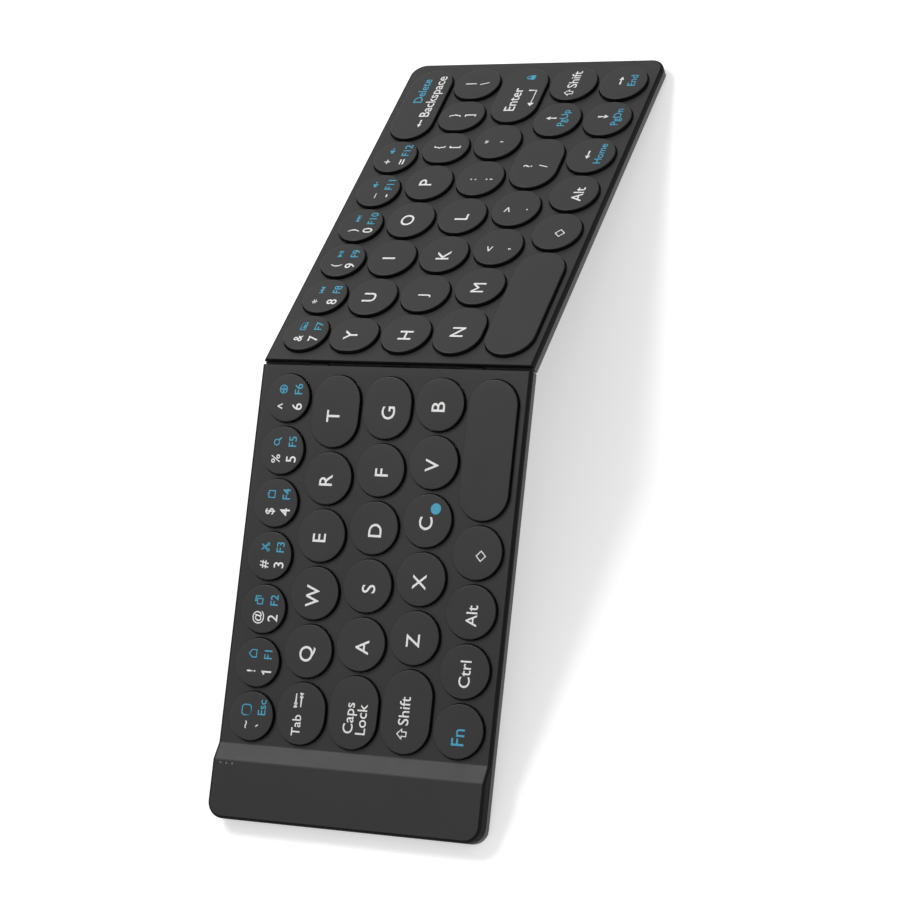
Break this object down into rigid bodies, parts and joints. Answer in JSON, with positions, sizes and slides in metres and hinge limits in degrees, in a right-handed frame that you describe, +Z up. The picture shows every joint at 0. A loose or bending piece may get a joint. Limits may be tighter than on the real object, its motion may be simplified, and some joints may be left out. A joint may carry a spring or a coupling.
{
  "type": "folding keyboard",
  "caption": "Thin two-part folding keyboard with round low keys, a raised battery end and a two-pin spine hinge, standing as a low tent.",
  "frame": {"origin": "on the table, below the middle of the tent's bounding box", "axes": "+X from the raised battery end to the plain end, +Y away from the typist, +Z up; the fold turns about +Y"},
  "size_m": [0.2893, 0.098, 0.0477],
  "materials": {
    "cover": "fine matte texture",
    "shell": "fine matte texture",
    "keys": "soft matte coating with white and cyan-blue printed legends",
    "guide": "matte",
    "dome_rubber": "matte silicone",
    "circuit": "printed film",
    "steel": "brushed",
    "dark_steel": "black plated",
    "foot_rubber": "matte",
    "foil": "laminated foil pouch",
    "board": "lacquered circuit board",
    "lamp": "clear light guide",
    "magnet": "nickel plated",
    "ribbon": "amber polyimide film"
  },
  "bodies": {
    "left_half": {"left_top_cover": "cover", "left_bottom_shell": "shell", "left_guide_plate": "guide", "left_dome_sheet": "dome_rubber", "left_circuit_sheet": "circuit", "left_hinge_leaf": "steel", "left_feet": "foot_rubber", "left_screws": "dark_steel", "battery": "foil", "main_board": "board", "charging_socket": "steel", "indicator_lamps": "lamp", "left_hinge_pins": "steel"},
    "spine": {"hinge_links": "dark_steel", "hinge_ribbon": "ribbon"},
    "right_half": {"right_top_cover": "cover", "right_bottom_shell": "shell", "right_guide_plate": "guide", "right_dome_sheet": "dome_rubber", "right_circuit_sheet": "circuit", "right_hinge_leaf": "steel", "right_feet": "foot_rubber", "right_screws": "dark_steel", "sensor_magnet": "magnet", "right_hinge_pins": "steel"},
    "key_space_left": {"key_space_left": "keys"},
    "key_q": {"key_q": "keys"},
    "key_w": {"key_w": "keys"},
    "key_e": {"key_e": "keys"},
    "key_r": {"key_r": "keys"},
    "key_t": {"key_t": "keys"},
    "key_a": {"key_a": "keys"},
    "key_s": {"key_s": "keys"},
    "key_d": {"key_d": "keys"},
    "key_f": {"key_f": "keys"},
    "key_g": {"key_g": "keys"},
    "key_z": {"key_z": "keys"},
    "key_x": {"key_x": "keys"},
    "key_c": {"key_c": "keys"},
    "key_v": {"key_v": "keys"},
    "key_b": {"key_b": "keys"},
    "left_number_keys": {"left_number_keys": "keys"},
    "left_modifier_keys": {"left_modifier_keys": "keys"},
    "left_side_keys": {"left_side_keys": "keys"},
    "key_space_right": {"key_space_right": "keys"},
    "key_y": {"key_y": "keys"},
    "key_u": {"key_u": "keys"},
    "key_i": {"key_i": "keys"},
    "key_o": {"key_o": "keys"},
    "key_p": {"key_p": "keys"},
    "key_h": {"key_h": "keys"},
    "key_j": {"key_j": "keys"},
    "key_k": {"key_k": "keys"},
    "key_l": {"key_l": "keys"},
    "key_n": {"key_n": "keys"},
    "key_m": {"key_m": "keys"},
    "right_number_keys": {"right_number_keys": "keys"},
    "punctuation_keys": {"punctuation_keys": "keys"},
    "right_side_keys": {"right_side_keys": "keys"},
    "bottom_row_keys": {"bottom_row_keys": "keys"}
  },
  "joints": [
    {"name": "left_hinge", "type": "hinge", "parent": "left_half", "child": "spine", "pos_m": [-0.00289, 0, 0.04469], "axis": [0, 1, 0], "range_deg": [-16.75, 73.25], "deforming": ["hinge_ribbon"]},
    {"name": "right_hinge", "type": "hinge", "parent": "spine", "child": "right_half", "pos_m": [0.00361, 0, 0.04469], "axis": [0, 1, 0], "range_deg": [-16.75, 73.25], "deforming": ["hinge_ribbon"]},
    {"name": "space_left_press", "type": "slide", "parent": "left_half", "child": "key_space_left", "axis": [-0.2882, 0, 0.9576], "range_m": [-0.0012, 0], "stiffness_N_per_m": 400, "springref_m": 0.0006, "deforming": ["left_dome_sheet"]},
    {"name": "q_press", "type": "slide", "parent": "left_half", "child": "key_q", "axis": [-0.2882, 0, 0.9576], "range_m": [-0.0012, 0], "stiffness_N_per_m": 400, "springref_m": 0.0006, "deforming": ["left_dome_sheet"]},
    {"name": "w_press", "type": "slide", "parent": "left_half", "child": "key_w", "axis": [-0.2882, 0, 0.9576], "range_m": [-0.0012, 0], "stiffness_N_per_m": 400, "springref_m": 0.0006, "deforming": ["left_dome_sheet"]},
    {"name": "e_press", "type": "slide", "parent": "left_half", "child": "key_e", "axis": [-0.2882, 0, 0.9576], "range_m": [-0.0012, 0], "stiffness_N_per_m": 400, "springref_m": 0.0006, "deforming": ["left_dome_sheet"]},
    {"name": "r_press", "type": "slide", "parent": "left_half", "child": "key_r", "axis": [-0.2882, 0, 0.9576], "range_m": [-0.0012, 0], "stiffness_N_per_m": 400, "springref_m": 0.0006, "deforming": ["left_dome_sheet"]},
    {"name": "t_press", "type": "slide", "parent": "left_half", "child": "key_t", "axis": [-0.2882, 0, 0.9576], "range_m": [-0.0012, 0], "stiffness_N_per_m": 400, "springref_m": 0.0006, "deforming": ["left_dome_sheet"]},
    {"name": "a_press", "type": "slide", "parent": "left_half", "child": "key_a", "axis": [-0.2882, 0, 0.9576], "range_m": [-0.0012, 0], "stiffness_N_per_m": 400, "springref_m": 0.0006, "deforming": ["left_dome_sheet"]},
    {"name": "s_press", "type": "slide", "parent": "left_half", "child": "key_s", "axis": [-0.2882, 0, 0.9576], "range_m": [-0.0012, 0], "stiffness_N_per_m": 400, "springref_m": 0.0006, "deforming": ["left_dome_sheet"]},
    {"name": "d_press", "type": "slide", "parent": "left_half", "child": "key_d", "axis": [-0.2882, 0, 0.9576], "range_m": [-0.0012, 0], "stiffness_N_per_m": 400, "springref_m": 0.0006, "deforming": ["left_dome_sheet"]},
    {"name": "f_press", "type": "slide", "parent": "left_half", "child": "key_f", "axis": [-0.2882, 0, 0.9576], "range_m": [-0.0012, 0], "stiffness_N_per_m": 400, "springref_m": 0.0006, "deforming": ["left_dome_sheet"]},
    {"name": "g_press", "type": "slide", "parent": "left_half", "child": "key_g", "axis": [-0.2882, 0, 0.9576], "range_m": [-0.0012, 0], "stiffness_N_per_m": 400, "springref_m": 0.0006, "deforming": ["left_dome_sheet"]},
    {"name": "z_press", "type": "slide", "parent": "left_half", "child": "key_z", "axis": [-0.2882, 0, 0.9576], "range_m": [-0.0012, 0], "stiffness_N_per_m": 400, "springref_m": 0.0006, "deforming": ["left_dome_sheet"]},
    {"name": "x_press", "type": "slide", "parent": "left_half", "child": "key_x", "axis": [-0.2882, 0, 0.9576], "range_m": [-0.0012, 0], "stiffness_N_per_m": 400, "springref_m": 0.0006, "deforming": ["left_dome_sheet"]},
    {"name": "c_press", "type": "slide", "parent": "left_half", "child": "key_c", "axis": [-0.2882, 0, 0.9576], "range_m": [-0.0012, 0], "stiffness_N_per_m": 400, "springref_m": 0.0006, "deforming": ["left_dome_sheet"]},
    {"name": "v_press", "type": "slide", "parent": "left_half", "child": "key_v", "axis": [-0.2882, 0, 0.9576], "range_m": [-0.0012, 0], "stiffness_N_per_m": 400, "springref_m": 0.0006, "deforming": ["left_dome_sheet"]},
    {"name": "b_press", "type": "slide", "parent": "left_half", "child": "key_b", "axis": [-0.2882, 0, 0.9576], "range_m": [-0.0012, 0], "stiffness_N_per_m": 400, "springref_m": 0.0006, "deforming": ["left_dome_sheet"]},
    {"name": "left_number_press", "type": "slide", "parent": "left_half", "child": "left_number_keys", "axis": [-0.2882, 0, 0.9576], "range_m": [-0.0012, 0], "stiffness_N_per_m": 2800, "springref_m": 0.0006, "deforming": ["left_dome_sheet"]},
    {"name": "left_modifier_press", "type": "slide", "parent": "left_half", "child": "left_modifier_keys", "axis": [-0.2882, 0, 0.9576], "range_m": [-0.0012, 0], "stiffness_N_per_m": 1600, "springref_m": 0.0006, "deforming": ["left_dome_sheet"]},
    {"name": "left_side_press", "type": "slide", "parent": "left_half", "child": "left_side_keys", "axis": [-0.2882, 0, 0.9576], "range_m": [-0.0012, 0], "stiffness_N_per_m": 1200, "springref_m": 0.0006, "deforming": ["left_dome_sheet"]},
    {"name": "space_right_press", "type": "slide", "parent": "right_half", "child": "key_space_right", "axis": [0.2882, 0, 0.9576], "range_m": [-0.0012, 0], "stiffness_N_per_m": 400, "springref_m": 0.0006, "deforming": ["right_dome_sheet"]},
    {"name": "y_press", "type": "slide", "parent": "right_half", "child": "key_y", "axis": [0.2882, 0, 0.9576], "range_m": [-0.0012, 0], "stiffness_N_per_m": 400, "springref_m": 0.0006, "deforming": ["right_dome_sheet"]},
    {"name": "u_press", "type": "slide", "parent": "right_half", "child": "key_u", "axis": [0.2882, 0, 0.9576], "range_m": [-0.0012, 0], "stiffness_N_per_m": 400, "springref_m": 0.0006, "deforming": ["right_dome_sheet"]},
    {"name": "i_press", "type": "slide", "parent": "right_half", "child": "key_i", "axis": [0.2882, 0, 0.9576], "range_m": [-0.0012, 0], "stiffness_N_per_m": 400, "springref_m": 0.0006, "deforming": ["right_dome_sheet"]},
    {"name": "o_press", "type": "slide", "parent": "right_half", "child": "key_o", "axis": [0.2882, 0, 0.9576], "range_m": [-0.0012, 0], "stiffness_N_per_m": 400, "springref_m": 0.0006, "deforming": ["right_dome_sheet"]},
    {"name": "p_press", "type": "slide", "parent": "right_half", "child": "key_p", "axis": [0.2882, 0, 0.9576], "range_m": [-0.0012, 0], "stiffness_N_per_m": 400, "springref_m": 0.0006, "deforming": ["right_dome_sheet"]},
    {"name": "h_press", "type": "slide", "parent": "right_half", "child": "key_h", "axis": [0.2882, 0, 0.9576], "range_m": [-0.0012, 0], "stiffness_N_per_m": 400, "springref_m": 0.0006, "deforming": ["right_dome_sheet"]},
    {"name": "j_press", "type": "slide", "parent": "right_half", "child": "key_j", "axis": [0.2882, 0, 0.9576], "range_m": [-0.0012, 0], "stiffness_N_per_m": 400, "springref_m": 0.0006, "deforming": ["right_dome_sheet"]},
    {"name": "k_press", "type": "slide", "parent": "right_half", "child": "key_k", "axis": [0.2882, 0, 0.9576], "range_m": [-0.0012, 0], "stiffness_N_per_m": 400, "springref_m": 0.0006, "deforming": ["right_dome_sheet"]},
    {"name": "l_press", "type": "slide", "parent": "right_half", "child": "key_l", "axis": [0.2882, 0, 0.9576], "range_m": [-0.0012, 0], "stiffness_N_per_m": 400, "springref_m": 0.0006, "deforming": ["right_dome_sheet"]},
    {"name": "n_press", "type": "slide", "parent": "right_half", "child": "key_n", "axis": [0.2882, 0, 0.9576], "range_m": [-0.0012, 0], "stiffness_N_per_m": 400, "springref_m": 0.0006, "deforming": ["right_dome_sheet"]},
    {"name": "m_press", "type": "slide", "parent": "right_half", "child": "key_m", "axis": [0.2882, 0, 0.9576], "range_m": [-0.0012, 0], "stiffness_N_per_m": 400, "springref_m": 0.0006, "deforming": ["right_dome_sheet"]},
    {"name": "right_number_press", "type": "slide", "parent": "right_half", "child": "right_number_keys", "axis": [0.2882, 0, 0.9576], "range_m": [-0.0012, 0], "stiffness_N_per_m": 2400, "springref_m": 0.0006, "deforming": ["right_dome_sheet"]},
    {"name": "punctuation_press", "type": "slide", "parent": "right_half", "child": "punctuation_keys", "axis": [0.2882, 0, 0.9576], "range_m": [-0.0012, 0], "stiffness_N_per_m": 3200, "springref_m": 0.0006, "deforming": ["right_dome_sheet"]},
    {"name": "right_side_press", "type": "slide", "parent": "right_half", "child": "right_side_keys", "axis": [0.2882, 0, 0.9576], "range_m": [-0.0012, 0], "stiffness_N_per_m": 1200, "springref_m": 0.0006, "deforming": ["right_dome_sheet"]},
    {"name": "bottom_row_press", "type": "slide", "parent": "right_half", "child": "bottom_row_keys", "axis": [0.2882, 0, 0.9576], "range_m": [-0.0012, 0], "stiffness_N_per_m": 2400, "springref_m": 0.0006, "deforming": ["right_dome_sheet"]}
  ],
  "couplings": [
    {"joint": "left_hinge", "follows": "right_hinge", "ratio": 1}
  ]
}
